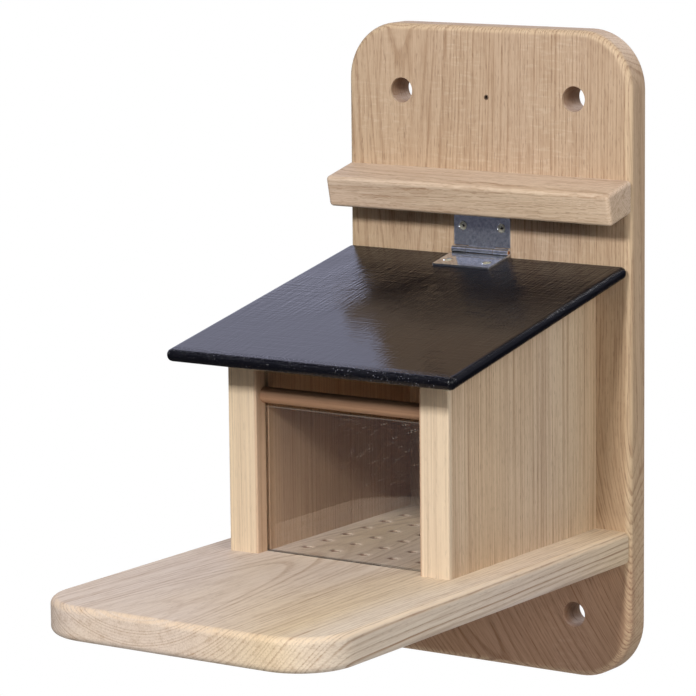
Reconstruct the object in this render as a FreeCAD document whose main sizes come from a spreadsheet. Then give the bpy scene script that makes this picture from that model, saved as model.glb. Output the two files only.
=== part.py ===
import FreeCAD, Part
import os
import Sketcher
from FreeCAD import Vector

# Squirrel feeder box. A thick back board hangs on a tree or a wall. A floor board stands out from it and
# is also the landing place. On it stand two sides with a clear window and a round crossbar between them,
# and a hinged lid closes the top. A slanting ledge keeps rain off the hinge.
# The origin is the middle of the four mounting holes, on the rear face of the back board.
# X runs to the right as seen from the front, -Y to the front and Z up. All sizes are in millimetres.

doc = FreeCAD.newDocument("squirrel_feeder")
size = doc.addObject("Spreadsheet::Sheet", "size")

driving_sizes = (
    ("board_wide", 200, "back board, side to side"),
    ("board_tall", 392, "back board, top to bottom"),
    ("board_thick", 20, "back board, rear to front"),
    ("board_corner", 35, "radius of the back board's corners"),
    ("board_round", 4, "rounding of the back board's edges"),
    ("hole_across", 122, "mounting holes, side to side"),
    ("hole_upright", 313, "mounting holes, upper pair to lower pair"),
    ("hole_margin", 41, "upper mounting holes to the board's top edge"),
    ("hole_bore", 15.5, "diameter of a mounting hole"),
    ("pilot_bore", 2, "diameter of the pilot hole between the upper mounting holes"),
    ("pilot_drop", 1.7, "pilot hole below the upper mounting holes"),
    ("floor_drop", 101.5, "top of the floor below the origin"),
    ("floor_inset", 1, "sides of the floor in from the sides of the back board"),
    ("floor_deep", 327.5, "floor board, back board to its front edge"),
    ("floor_thick", 20, "floor board, top to bottom"),
    ("floor_corner", 35, "radius of the floor's front corners"),
    ("floor_round", 4, "rounding of the floor's edges"),
    ("drain_bore", 6, "diameter of a drain hole"),
    ("drain_columns", 5, "drain holes side by side"),
    ("drain_rows", 6, "drain holes from rear to front"),
    ("drain_across", 20.2, "pitch of the drain holes, side to side"),
    ("drain_along", 21, "pitch of the drain holes, rear to front"),
    ("drain_side", 1.6, "middle of the drain holes, left of the board's middle"),
    ("drain_start", 28.5, "rear row of drain holes, from the back board"),
    ("house_inset", 23.5, "sides of the house in from the sides of the back board"),
    ("side_thick", 20, "a side of the house, thickness"),
    ("side_deep", 163.5, "a side of the house, back board to its front"),
    ("side_tall", 153.6, "a side of the house, height at the back board"),
    ("side_round", 1, "rounding of the sides' front edges"),
    ("roof_slope", 11.5, "slope of the roof in degrees"),
    ("pane_thick", 3, "window pane, thickness"),
    ("pane_tall", 86.6, "window pane, height"),
    ("pane_setback", 9.5, "window pane behind the front of the sides"),
    ("pane_play", 0.15, "room round the pane in its grooves"),
    ("groove_deep", 5, "depth of the grooves in the sides"),
    ("bar_across", 9.5, "diameter of the crossbar"),
    ("bar_play", 0.05, "room round the crossbar in its sockets"),
    ("bar_cover", 4, "wood left in front of a crossbar socket"),
    ("bar_gap", 2.05, "crossbar above the pane"),
    ("bar_socket", 8, "depth of a crossbar socket"),
    ("ledge_deep", 27.5, "rain ledge, along its slanting top"),
    ("ledge_thick", 19.5, "rain ledge, thickness"),
    ("ledge_tilt", 13, "slant of the rain ledge in degrees"),
    ("ledge_round", 2.5, "rounding of the ledge's edges"),
    ("ledge_clear", 4.2, "rain ledge above the hinge leaf"),
    ("lid_inset", 1, "sides of the lid in from the sides of the back board"),
    ("lid_deep", 198, "lid, rear edge to front edge"),
    ("lid_thick", 7.5, "lid, thickness"),
    ("lid_corner", 4, "radius of the lid's corners"),
    ("lid_round", 3.5, "rounding of the lid's edges"),
    ("lid_flat", 0.25, "least flat left between two of the lid's roundings"),
    ("lid_seat_gap", 0.2, "closed lid above the sides"),
    ("lid_back_gap", 0.42, "closed lid in front of the back board"),
    ("hinge_long", 40, "hinge, along its pin"),
    ("hinge_side", 2.8, "middle of the hinge, left of the board's middle"),
    ("leaf_reach", 24, "hinge leaf, pin to its free edge"),
    ("leaf_thick", 1, "hinge leaf, thickness"),
    ("leaf_stand", 0.25, "back of a leaf beyond the hinge barrel"),
    ("pin_across", 2.2, "diameter of the hinge pin"),
    ("pin_play", 0.05, "room round the hinge pin"),
    ("pin_sunk", 0.2, "ends of the pin inside the barrel"),
    ("middle_knuckle", 19, "length of the wall leaf's knuckle"),
    ("knuckle_gap", 0.3, "room between the knuckles and round them"),
    ("hinge_screw_side", 6.3, "hinge screws from the ends of a leaf"),
    ("wall_screw_edge", 9.8, "hinge screws from the free edge of the wall leaf"),
    ("lid_screw_edge", 8, "hinge screws from the free edge of the lid leaf"),
    ("hinge_screw_long", 12, "hinge screws in the back board, length"),
    ("hinge_shank", 2.6, "hinge screws, diameter of the shank"),
    ("hinge_head", 5, "hinge screws, diameter of the head"),
    ("hinge_sunk", 0.15, "hinge screw heads below the leaf's surface"),
    ("hinge_recess", 2.8, "hinge screws, width of the cross recess"),
    ("lid_skin", 1, "wood of the lid under its hinge screws"),
    ("screw_long", 45, "wood screws in the floor and the sides, length"),
    ("ledge_screw_long", 35, "wood screws in the rain ledge, length"),
    ("screw_shank", 4, "wood screws, diameter of the shank"),
    ("screw_head", 8, "wood screws, diameter of the head"),
    ("screw_recess", 4.4, "wood screws, width of the cross recess"),
    ("screw_sunk", 0.5, "wood screw heads below the surface"),
    ("screw_rim", 0.25, "height of the rim round a screw head"),
    ("screw_play", 0.05, "room round a screw in its hole"),
    ("floor_screw_side", 19, "floor screws from the sides of the floor"),
    ("ledge_screw_side", 40, "ledge screws from the ends of the ledge"),
    ("side_screw_end", 38, "side screws from the foot and the top of a side"),
    ("foot_screw_end", 40, "foot screws from the rear and the front of a side"),
)
for row, (alias, value, meaning) in enumerate(driving_sizes, 1):
    size.set(f"A{row}", alias)
    size.set(f"B{row}", str(value))
    size.setAlias(f"B{row}", alias)
    size.set(f"C{row}", meaning)
doc.recompute()

# Places that several pieces share, as formulas of the sheet.
board_top = "(size.hole_upright / 2 + size.hole_margin)"
floor_half = "(size.board_wide / 2 - size.floor_inset)"
lid_half = "(size.board_wide / 2 - size.lid_inset)"
house_half = "(size.board_wide / 2 - size.house_inset)"
side_middle = f"({house_half} - size.side_thick / 2)"
inner_half = f"({house_half} - size.side_thick)"
bar_height = "(size.pane_tall + size.bar_gap + size.bar_across / 2)"
bar_setback = "(size.bar_cover + size.bar_play + size.bar_across / 2)"
ledge_rear_height = "(size.ledge_thick / cos(size.ledge_tilt))"

# The barrel is the pin with the leaf rolled round it. Each leaf's back is a little further out, so that the
# barrel turns clear of the board and of the lid.
barrel_radius = "(size.pin_across / 2 + size.pin_play + size.leaf_thick)"
leaf_back = f"({barrel_radius} + size.leaf_stand)"
leaf_notch = f"({barrel_radius} + size.knuckle_gap)"
axis_y = f"(-size.board_thick - {leaf_back})"
axis_z = (
    "(-size.floor_drop + size.side_tall"
    f" + (size.lid_seat_gap + size.lid_thick + {leaf_back}) / cos(size.roof_slope)"
    f" - {leaf_back} * tan(size.roof_slope))"
)

# The rounded rear edge of the sloping lid reaches nearly to the board. Its upper rear corner, before
# rounding, stands this far from the board, and this far behind the hinge pin along the lid.
lid_edge_round = "min(size.lid_round; size.lid_thick / 2 - size.lid_flat; size.lid_corner - size.lid_flat)"
lid_corner_gap = (
    "(size.lid_back_gap + size.lid_thick * sin(size.roof_slope)"
    f" - {lid_edge_round} * (cos(size.roof_slope) + sin(size.roof_slope) - 1))"
)
lid_tail = f"(({leaf_back} * (1 - sin(size.roof_slope)) - {lid_corner_gap}) / cos(size.roof_slope))"

hinge_screw_x = "(size.hinge_long / 2 - size.hinge_screw_side)"
wall_screw_reach = "(size.leaf_reach - size.wall_screw_edge)"
lid_screw_reach = "(size.leaf_reach - size.lid_screw_edge)"
lid_screw_long = "(size.leaf_thick + size.lid_thick - size.lid_skin - size.hinge_sunk)"
wood_hole = "(size.screw_shank + 2 * size.screw_play)"
wood_cut = "(size.screw_head + 2 * (size.screw_sunk + size.screw_rim + size.screw_play))"
hinge_hole = "(size.hinge_shank + 2 * size.screw_play)"
hinge_cut = "(size.hinge_head + 2 * (size.hinge_sunk + size.screw_rim + size.screw_play))"
# The countersink of a hinge screw goes on into the wood behind the thin leaf.
hinge_cut_in_wood = f"max({hinge_cut} - 2 * size.leaf_thick; {hinge_hole} + size.screw_rim)"
side_screw_heights = ("size.side_screw_end", "(size.side_tall - size.side_screw_end)")
foot_screw_places = ("-size.foot_screw_end", "(size.foot_screw_end - size.side_deep)")
floor_screw_places = (
    f"(size.floor_screw_side - {floor_half})",
    "(size.drain_across / 2 - size.drain_side)",
    f"({floor_half} - size.floor_screw_side)",
)
ledge_screw_places = (
    "(size.ledge_screw_side - size.board_wide / 2)",
    "(size.board_wide / 2 - size.ledge_screw_side)",
)
hands = {"left": "-1", "right": "1"}

pieces = []


def number(formula):
    """The formula's value with the sheet's present sizes."""
    value = size.evalExpression(formula)
    return float(getattr(value, "Value", value))


def vector_of(x="0", y="0", z="0"):
    return f"vector({x}; {y}; {z})"


def new_body(name, place=vector_of(), tilt="0", carrier=None):
    """A body placed in the part's frame, or in the frame of the body that carries it."""
    body = doc.addObject("PartDesign::Body", name)
    body.Label = name
    formula = f"placement({place}; rotation(vector(1; 0; 0); {tilt}))"
    if carrier:
        formula = f"{carrier.Name}.Placement * {formula}"
    body.setExpression("Placement", formula)
    pieces.append(body)
    return body


def new_sketch(body, role, offset=None):
    """A sketch on one of the body's own origin planes, or at an offset from it."""
    sketch = body.newObject("Sketcher::SketchObject", f"{body.Name}_sketch")
    plane = [item for item in body.Origin.OriginFeatures if item.Role == role][0]
    sketch.AttachmentSupport = [(plane, "")]
    sketch.MapMode = "FlatFace"
    if offset:
        sketch.setExpression("AttachmentOffset.Base.z", offset)
    return sketch


def hold_point(sketch, geometry, point, x, y):
    """Ties a point of the sketch to its two distances from the sketch's origin."""
    for kind, formula in (("DistanceX", x), ("DistanceY", y)):
        constraint = Sketcher.Constraint(kind, -1, 1, geometry, point, number(formula))
        index = sketch.addConstraint(constraint)
        sketch.setExpression(f"Constraints[{index}]", formula)


def draw_outline(sketch, corners):
    """A closed outline of straight lines through the corners."""
    points = [Vector(number(x), number(y), 0) for x, y in corners]
    count = len(points)
    lines = [Part.LineSegment(points[k], points[(k + 1) % count]) for k in range(count)]
    first = sketch.GeometryCount
    sketch.addGeometry(lines, False)
    for k in range(count):
        following = first + (k + 1) % count
        sketch.addConstraint(Sketcher.Constraint("Coincident", first + k, 2, following, 1))
    for k, (x, y) in enumerate(corners):
        hold_point(sketch, first + k, 1, x, y)


def draw_box(sketch, left, right, low, high):
    draw_outline(sketch, ((left, low), (right, low), (right, high), (left, high)))


def draw_circle(sketch, x, y, across):
    centre = Vector(number(x), number(y), 0)
    circle = Part.Circle(centre, Vector(0, 0, 1), number(across) / 2)
    index = sketch.addGeometry(circle, False)
    hold_point(sketch, index, 3, x, y)
    constraint = sketch.addConstraint(Sketcher.Constraint("Diameter", index, number(across)))
    sketch.setExpression(f"Constraints[{constraint}]", across)


def finish_feature(body, feature, before, adds):
    """Recomputes the feature and stops if it added or removed nothing."""
    doc.recompute()
    body.Tip = feature
    change = feature.Shape.Volume - before
    if (change if adds else -change) < 0.01:
        raise RuntimeError(f"{feature.Label} changed nothing")
    return feature


def pad(body, sketch, length, flipped=False, both_ways=False):
    before = body.Shape.Volume if body.Tip and not body.Shape.isNull() else 0
    feature = body.newObject("PartDesign::Pad", f"{body.Name}_pad")
    feature.Profile = sketch
    feature.Reversed = flipped
    feature.SideType = "Symmetric" if both_ways else "One side"
    feature.setExpression("Length", length)
    return finish_feature(body, feature, before, adds=True)


def pocket(body, sketch, depth=None, flipped=False, both_ways=False):
    before = body.Shape.Volume
    feature = body.newObject("PartDesign::Pocket", f"{body.Name}_pocket")
    feature.Profile = sketch
    feature.Reversed = flipped
    feature.SideType = "Symmetric" if both_ways else "One side"
    if depth is None:
        feature.Type = "ThroughAll"
    else:
        feature.setExpression("Length", depth)
    return finish_feature(body, feature, before, adds=False)


def countersink(body, sketch, across, cut, depth=None, flipped=False):
    """Screw holes with a 90 degree countersink at every circle of the sketch."""
    before = body.Shape.Volume
    feature = body.newObject("PartDesign::Hole", f"{body.Name}_screw_hole")
    feature.Profile = sketch
    feature.Reversed = flipped
    doc.recompute()
    feature.ThreadType = "None"
    feature.HoleCutType = "Countersink"
    feature.HoleCutCustomValues = True
    feature.HoleCutCountersinkAngle = 90
    feature.DrillPoint = "Flat"
    feature.setExpression("Diameter", across)
    feature.setExpression("HoleCutDiameter", cut)
    if depth is None:
        feature.DepthType = "ThroughAll"
    else:
        feature.DepthType = "Dimension"
        feature.setExpression("Depth", depth)
    return finish_feature(body, feature, before, adds=False)


def round_edges(body, radius, chosen):
    """Rounds the edges of the body that the test picks."""
    base = body.Tip
    before = base.Shape.Volume
    names = [f"Edge{k}" for k, edge in enumerate(base.Shape.Edges, 1) if chosen(edge)]
    feature = body.newObject("PartDesign::Fillet", f"{body.Name}_rounding")
    feature.Base = (base, names)
    feature.setExpression("Radius", radius)
    return finish_feature(body, feature, before, adds=False)


def lies_at(edge, axis, formula):
    """True for an edge that lies wholly at one height along X, Y or Z."""
    box = edge.BoundBox
    low = getattr(box, axis + "Min")
    high = getattr(box, axis + "Max")
    place = number(formula)
    return abs(low - place) < 0.001 and abs(high - place) < 0.001


def runs_along(edge, axis):
    """True for a straight edge parallel to X, Y or Z."""
    box = edge.BoundBox
    return abs(getattr(box, axis + "Length") - edge.Length) < 0.001


def make_back_board():
    body = new_body("back_board")
    face = new_sketch(body, "XZ_Plane")
    half = "size.board_wide / 2"
    draw_box(face, f"-{half}", half, f"{board_top} - size.board_tall", board_top)
    pad(body, face, "size.board_thick")
    round_edges(body, "size.board_corner", lambda edge: runs_along(edge, "Y"))
    faces = ("0", "-size.board_thick")
    round_edges(body, "size.board_round", lambda edge: any(lies_at(edge, "Y", y) for y in faces))

    mounting = new_sketch(body, "XZ_Plane")
    for x_sign in ("-", ""):
        for z_sign in ("-", ""):
            x = f"{x_sign}size.hole_across / 2"
            z = f"{z_sign}size.hole_upright / 2"
            draw_circle(mounting, x, z, "size.hole_bore")
    draw_circle(mounting, "0", "size.hole_upright / 2 - size.pilot_drop", "size.pilot_bore")
    pocket(body, mounting, flipped=True)

    behind = new_sketch(body, "XZ_Plane")
    for x in floor_screw_places:
        draw_circle(behind, x, "-size.floor_drop - size.floor_thick / 2", wood_hole)
    for sign in hands.values():
        for height in side_screw_heights:
            draw_circle(behind, f"{sign} * {side_middle}", f"{height} - size.floor_drop", wood_hole)
    ledge_hole_height = f"{axis_z} + size.leaf_reach + size.ledge_clear + {ledge_rear_height} / 2"
    for x in ledge_screw_places:
        draw_circle(behind, x, ledge_hole_height, wood_hole)
    countersink(body, behind, wood_hole, wood_cut, flipped=True)

    front = new_sketch(body, "XZ_Plane", "size.board_thick")
    for sign in hands.values():
        x = f"{sign} * {hinge_screw_x} - size.hinge_side"
        draw_circle(front, x, f"{axis_z} + {wall_screw_reach}", hinge_hole)
    depth = "size.hinge_screw_long + size.hinge_sunk - size.leaf_thick + size.screw_play"
    countersink(body, front, hinge_hole, hinge_cut_in_wood, depth)


def make_floor_board():
    body = new_body("floor_board", vector_of(y="-size.board_thick", z="-size.floor_drop"))
    plan = new_sketch(body, "XY_Plane")
    draw_box(plan, f"-{floor_half}", floor_half, "-size.floor_deep", "0")
    pad(body, plan, "size.floor_thick", flipped=True)
    round_edges(
        body,
        "size.floor_corner",
        lambda edge: runs_along(edge, "Z") and lies_at(edge, "Y", "-size.floor_deep"),
    )
    faces = ("0", "-size.floor_thick")
    round_edges(
        body,
        "size.floor_round",
        lambda edge: any(lies_at(edge, "Z", z) for z in faces) and not lies_at(edge, "Y", "0"),
    )

    drain = new_sketch(body, "XY_Plane")
    first_column = "-size.drain_side - (size.drain_columns - 1) / 2 * size.drain_across"
    for column in range(round(number("size.drain_columns"))):
        x = f"{first_column} + {column} * size.drain_across"
        draw_circle(drain, x, "-size.drain_start", "size.drain_bore")
    rear_row = pocket(body, drain)
    rows = body.newObject("PartDesign::LinearPattern", "floor_board_drain_rows")
    rows.Originals = [rear_row]
    rows.Direction = (drain, ["V_Axis"])
    rows.Reversed = True
    rows.Mode = "Spacing"
    rows.setExpression("Offset", "size.drain_along")
    rows.setExpression("Occurrences", "size.drain_rows")
    finish_feature(body, rows, rear_row.Shape.Volume, adds=False)

    rear = new_sketch(body, "XZ_Plane")
    for x in floor_screw_places:
        draw_circle(rear, x, "-size.floor_thick / 2", wood_hole)
    pocket(body, rear, "size.screw_long - size.board_thick + size.screw_play", flipped=True)

    below = new_sketch(body, "XY_Plane", "-size.floor_thick")
    for sign in hands.values():
        for y in foot_screw_places:
            draw_circle(below, f"{sign} * {side_middle}", y, wood_hole)
    countersink(body, below, wood_hole, wood_cut, flipped=True)


def make_side(hand):
    """A side of the house. Its own origin is at its foot, against the back board, in mid thickness."""
    sign = hands[hand]
    place = vector_of(f"{sign} * {side_middle}", "-size.board_thick", "-size.floor_drop")
    body = new_body(f"{hand}_side", place)
    profile = new_sketch(body, "YZ_Plane")
    front_tall = "size.side_tall - size.side_deep * tan(size.roof_slope)"
    corners = (("0", "0"), ("-size.side_deep", "0"), ("-size.side_deep", front_tall), ("0", "size.side_tall"))
    draw_outline(profile, corners)
    pad(body, profile, "size.side_thick", both_ways=True)
    round_edges(
        body,
        "size.side_round",
        lambda edge: runs_along(edge, "Z") and lies_at(edge, "Y", "-size.side_deep"),
    )

    # The groove for the pane runs the whole height of the side.
    groove = new_sketch(body, "XY_Plane")
    inner_face = f"-{sign} * size.side_thick / 2"
    groove_floor = f"{inner_face} + {sign} * size.groove_deep"
    groove_front = "size.pane_setback - size.pane_play - size.side_deep"
    groove_rear = "size.pane_setback + size.pane_thick + size.pane_play - size.side_deep"
    draw_box(groove, inner_face, groove_floor, groove_front, groove_rear)
    pocket(body, groove, flipped=True)

    socket = new_sketch(body, "YZ_Plane", inner_face)
    draw_circle(socket, f"{bar_setback} - size.side_deep", bar_height, "size.bar_across + 2 * size.bar_play")
    pocket(body, socket, "size.bar_socket", flipped=hand == "right")

    rear = new_sketch(body, "XZ_Plane")
    for height in side_screw_heights:
        draw_circle(rear, "0", height, wood_hole)
    pocket(body, rear, "size.screw_long - size.board_thick + size.screw_play", flipped=True)

    foot = new_sketch(body, "XY_Plane")
    for y in foot_screw_places:
        draw_circle(foot, "0", y, wood_hole)
    pocket(body, foot, "size.screw_long - size.floor_thick + size.screw_play", flipped=True)


def make_window_pane():
    """The pane stands on the floor, with its edges in the grooves of the sides."""
    front = "size.pane_setback - size.side_deep - size.board_thick"
    body = new_body("window_pane", vector_of(y=front, z="-size.floor_drop"))
    face = new_sketch(body, "XZ_Plane")
    half = f"({inner_half} + size.groove_deep - size.pane_play)"
    draw_box(face, f"-{half}", half, "0", "size.pane_tall")
    pad(body, face, "size.pane_thick", flipped=True)


def make_crossbar():
    place = vector_of(
        y=f"{bar_setback} - size.side_deep - size.board_thick",
        z=f"{bar_height} - size.floor_drop",
    )
    body = new_body("crossbar", place)
    section = new_sketch(body, "YZ_Plane")
    draw_circle(section, "0", "0", "size.bar_across")
    pad(body, section, f"2 * ({inner_half} + size.bar_socket - size.bar_play)", both_ways=True)


def make_rain_ledge():
    """A bar cut to lie flat on the board with its top slanting down to the front."""
    place = vector_of(y="-size.board_thick", z=f"{axis_z} + size.leaf_reach + size.ledge_clear")
    body = new_body("rain_ledge", place)
    run = "size.ledge_deep * cos(size.ledge_tilt)"
    fall = "size.ledge_deep * sin(size.ledge_tilt)"
    lean = "size.ledge_thick * sin(size.ledge_tilt)"
    drop = "size.ledge_thick * cos(size.ledge_tilt)"
    top_front = (f"-{run}", f"{ledge_rear_height} - {fall}")
    foot_front = (f"{lean} - {run}", f"{ledge_rear_height} - {fall} - {drop}")
    section = new_sketch(body, "YZ_Plane")
    draw_outline(section, (("0", "0"), foot_front, top_front, ("0", ledge_rear_height)))
    pad(body, section, "size.board_wide", both_ways=True)
    round_edges(body, "size.ledge_round", lambda edge: not lies_at(edge, "Y", "0"))
    rear = new_sketch(body, "XZ_Plane")
    for x in ledge_screw_places:
        draw_circle(rear, x, f"{ledge_rear_height} / 2", wood_hole)
    pocket(body, rear, "size.ledge_screw_long - size.board_thick + size.screw_play", flipped=True)


def make_lid():
    """The lid's own frame lies in the hinge pin, with Z square to the lid's top."""
    body = new_body("lid", vector_of(y=axis_y, z=axis_z), "size.roof_slope")
    top = f"-{leaf_back}"
    foot = f"{top} - size.lid_thick"
    plan = new_sketch(body, "XY_Plane", top)
    draw_box(plan, f"-{lid_half}", lid_half, f"{lid_tail} - size.lid_deep", lid_tail)
    pad(body, plan, "size.lid_thick", flipped=True)
    round_edges(body, "size.lid_corner", lambda edge: runs_along(edge, "Z"))
    round_edges(body, lid_edge_round, lambda edge: any(lies_at(edge, "Z", z) for z in (top, foot)))
    screws = new_sketch(body, "XY_Plane", top)
    for sign in hands.values():
        draw_circle(screws, f"{sign} * {hinge_screw_x} - size.hinge_side", f"-{lid_screw_reach}", hinge_hole)
    depth = "size.lid_thick - size.lid_skin + size.screw_play"
    countersink(body, screws, hinge_hole, hinge_cut_in_wood, depth)
    return body


def add_knuckle(body, start, length):
    """A length of barrel on the hinge axis, from one place along the pin."""
    section = new_sketch(body, "YZ_Plane", start)
    draw_circle(section, "0", "0", f"2 * {barrel_radius}")
    pad(body, section, length)


def bore_barrel(body):
    section = new_sketch(body, "YZ_Plane")
    draw_circle(section, "0", "0", "size.pin_across + 2 * size.pin_play")
    pocket(body, section, "size.hinge_long", both_ways=True)


def make_hinge_wall_leaf():
    """The leaf on the back board. It holds the middle knuckle and is notched round the other two."""
    body = new_body("hinge_wall_leaf", vector_of("-size.hinge_side", axis_y, axis_z))
    half = "size.hinge_long / 2"
    tab = "size.middle_knuckle / 2"
    plate = new_sketch(body, "XZ_Plane", f"-{leaf_back}")
    draw_outline(plate, (
        (f"-{half}", leaf_notch),
        (f"-{tab}", leaf_notch),
        (f"-{tab}", "0"),
        (tab, "0"),
        (tab, leaf_notch),
        (half, leaf_notch),
        (half, "size.leaf_reach"),
        (f"-{half}", "size.leaf_reach"),
    ))
    pad(body, plate, "size.leaf_thick")
    add_knuckle(body, f"-{tab}", "size.middle_knuckle")
    bore_barrel(body)
    screws = new_sketch(body, "XZ_Plane", f"size.leaf_thick - {leaf_back}")
    for sign in hands.values():
        draw_circle(screws, f"{sign} * {hinge_screw_x}", wall_screw_reach, hinge_hole)
    countersink(body, screws, hinge_hole, hinge_cut)
    return body


def make_hinge_lid_leaf(lid):
    """The leaf on the lid. It holds the two outer knuckles and is notched round the middle one."""
    body = new_body("hinge_lid_leaf", vector_of("-size.hinge_side"), carrier=lid)
    half = "size.hinge_long / 2"
    inner = "(size.middle_knuckle / 2 + size.knuckle_gap)"
    plate = new_sketch(body, "XY_Plane", f"-{leaf_back}")
    draw_outline(plate, (
        (f"-{half}", "0"),
        (f"-{half}", "-size.leaf_reach"),
        (half, "-size.leaf_reach"),
        (half, "0"),
        (inner, "0"),
        (inner, f"-{leaf_notch}"),
        (f"-{inner}", f"-{leaf_notch}"),
        (f"-{inner}", "0"),
    ))
    pad(body, plate, "size.leaf_thick")
    add_knuckle(body, f"-{half}", f"{half} - {inner}")
    add_knuckle(body, inner, f"{half} - {inner}")
    bore_barrel(body)
    screws = new_sketch(body, "XY_Plane", f"size.leaf_thick - {leaf_back}")
    for sign in hands.values():
        draw_circle(screws, f"{sign} * {hinge_screw_x}", f"-{lid_screw_reach}", hinge_hole)
    countersink(body, screws, hinge_hole, hinge_cut)
    return body


def make_hinge_pin(wall_leaf):
    body = new_body("hinge_pin", carrier=wall_leaf)
    section = new_sketch(body, "YZ_Plane")
    draw_circle(section, "0", "0", "size.pin_across")
    pad(body, section, "size.hinge_long - 2 * size.pin_sunk", both_ways=True)


def make_screw(name, long, shank, head, recess, **where):
    """A pointed screw with a countersunk, cross-recessed head. Z points out of the head."""
    body = new_body(name, **where)
    rim_foot = "-size.screw_rim"
    cone_foot = f"-size.screw_rim - ({head} - {shank}) / 2"
    point_long = f"1.2 * {shank}"
    arm = f"{recess} / 2"
    slot = f"{recess} / 8"
    recess_deep = f"{recess} * 0.4"

    profile = new_sketch(body, "XZ_Plane")
    draw_outline(profile, (
        ("0", "0"),
        (f"{head} / 2", "0"),
        (f"{head} / 2", rim_foot),
        (f"{shank} / 2", cone_foot),
        (f"{shank} / 2", f"{point_long} - {long}"),
        ("0", f"-{long}"),
    ))
    turned = body.newObject("PartDesign::Revolution", f"{name}_turned")
    turned.Profile = profile
    turned.ReferenceAxis = (profile, ["V_Axis"])
    turned.Angle = 360
    finish_feature(body, turned, 0, adds=True)

    cross = new_sketch(body, "XY_Plane")
    draw_outline(cross, (
        (arm, f"-{slot}"), (arm, slot), (slot, slot), (slot, arm), (f"-{slot}", arm), (f"-{slot}", slot),
        (f"-{arm}", slot), (f"-{arm}", f"-{slot}"), (f"-{slot}", f"-{slot}"), (f"-{slot}", f"-{arm}"),
        (slot, f"-{arm}"), (slot, f"-{slot}"),
    ))
    pocket(body, cross, recess_deep)


def make_hinge_screws(wall_leaf, lid_leaf):
    common = dict(shank="size.hinge_shank", head="size.hinge_head", recess="size.hinge_recess")
    head_level = f"({leaf_back} - size.leaf_thick + size.hinge_sunk)"
    for hand, sign in hands.items():
        x = f"{sign} * {hinge_screw_x}"
        on_wall = vector_of(x, head_level, wall_screw_reach)
        on_lid = vector_of(x, f"-{lid_screw_reach}", f"-{head_level}")
        make_screw(
            f"hinge_wall_screw_{hand}", "size.hinge_screw_long",
            place=on_wall, tilt="90", carrier=wall_leaf, **common
        )
        make_screw(f"hinge_lid_screw_{hand}", lid_screw_long, place=on_lid, carrier=lid_leaf, **common)


def make_wood_screws():
    """Screws from behind into the floor, the sides and the ledge, and from below into the sides."""
    common = dict(shank="size.screw_shank", head="size.screw_head", recess="size.screw_recess")
    behind = "-size.screw_sunk"
    height = "-size.floor_drop - size.floor_thick / 2"
    for place, x in zip(("left", "middle", "right"), floor_screw_places):
        make_screw(
            f"floor_screw_{place}", "(size.screw_long - size.screw_sunk)",
            place=vector_of(x, behind, height), tilt="-90", **common
        )
    height = f"{axis_z} + size.leaf_reach + size.ledge_clear + {ledge_rear_height} / 2"
    for hand, x in zip(hands, ledge_screw_places):
        make_screw(
            f"ledge_screw_{hand}", "(size.ledge_screw_long - size.screw_sunk)",
            place=vector_of(x, behind, height), tilt="-90", **common
        )
    for hand, sign in hands.items():
        x = f"{sign} * {side_middle}"
        for level, height in zip(("lower", "upper"), side_screw_heights):
            make_screw(
                f"{hand}_side_screw_{level}", "(size.screw_long - size.screw_sunk)",
                place=vector_of(x, behind, f"{height} - size.floor_drop"), tilt="-90", **common
            )
        below = "size.screw_sunk - size.floor_drop - size.floor_thick"
        for end, y in zip(("rear", "front"), foot_screw_places):
            make_screw(
                f"{hand}_foot_screw_{end}", "(size.screw_long - size.screw_sunk)",
                place=vector_of(x, f"{y} - size.board_thick", below), tilt="180", **common
            )


make_back_board()
make_floor_board()
for hand in hands:
    make_side(hand)
make_window_pane()
make_crossbar()
make_rain_ledge()
lid = make_lid()
wall_leaf = make_hinge_wall_leaf()
lid_leaf = make_hinge_lid_leaf(lid)
make_hinge_pin(wall_leaf)
make_hinge_screws(wall_leaf, lid_leaf)
make_wood_screws()
doc.recompute()

for item in doc.Objects:
    if "Invalid" in item.State or "Error" in item.State:
        raise RuntimeError(f"{item.Label} failed to compute")
for body in pieces:
    if body.Shape.isNull() or not body.Shape.isValid():
        raise RuntimeError(f"{body.Label} has no valid shape")
    if len(body.Shape.Solids) != 1:
        raise RuntimeError(f"{body.Label} is not one solid")

os.makedirs("parts", exist_ok=True)
for body in pieces:
    body.Shape.exportStep(f"parts/{body.Label}.step")
    print(f"{body.Label}: {body.Shape.Volume:.1f} mm3")
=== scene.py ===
import math

import bpy
import numpy as np
from mathutils import Matrix, Vector


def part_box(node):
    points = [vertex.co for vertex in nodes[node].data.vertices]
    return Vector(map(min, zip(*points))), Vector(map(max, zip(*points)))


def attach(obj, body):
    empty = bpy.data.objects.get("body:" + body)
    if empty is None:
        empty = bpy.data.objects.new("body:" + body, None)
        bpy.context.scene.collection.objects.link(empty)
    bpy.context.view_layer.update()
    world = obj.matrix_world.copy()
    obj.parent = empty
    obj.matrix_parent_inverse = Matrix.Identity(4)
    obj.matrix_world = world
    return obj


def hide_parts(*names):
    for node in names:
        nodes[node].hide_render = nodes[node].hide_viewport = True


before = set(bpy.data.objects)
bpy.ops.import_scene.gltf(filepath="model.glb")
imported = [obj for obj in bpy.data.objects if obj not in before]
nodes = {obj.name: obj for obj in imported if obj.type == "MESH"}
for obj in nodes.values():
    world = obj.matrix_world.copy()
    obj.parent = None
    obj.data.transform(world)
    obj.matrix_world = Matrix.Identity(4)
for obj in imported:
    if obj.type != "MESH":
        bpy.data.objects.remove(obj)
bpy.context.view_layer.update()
print("frame loaded with", len(nodes), "nodes")


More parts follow.
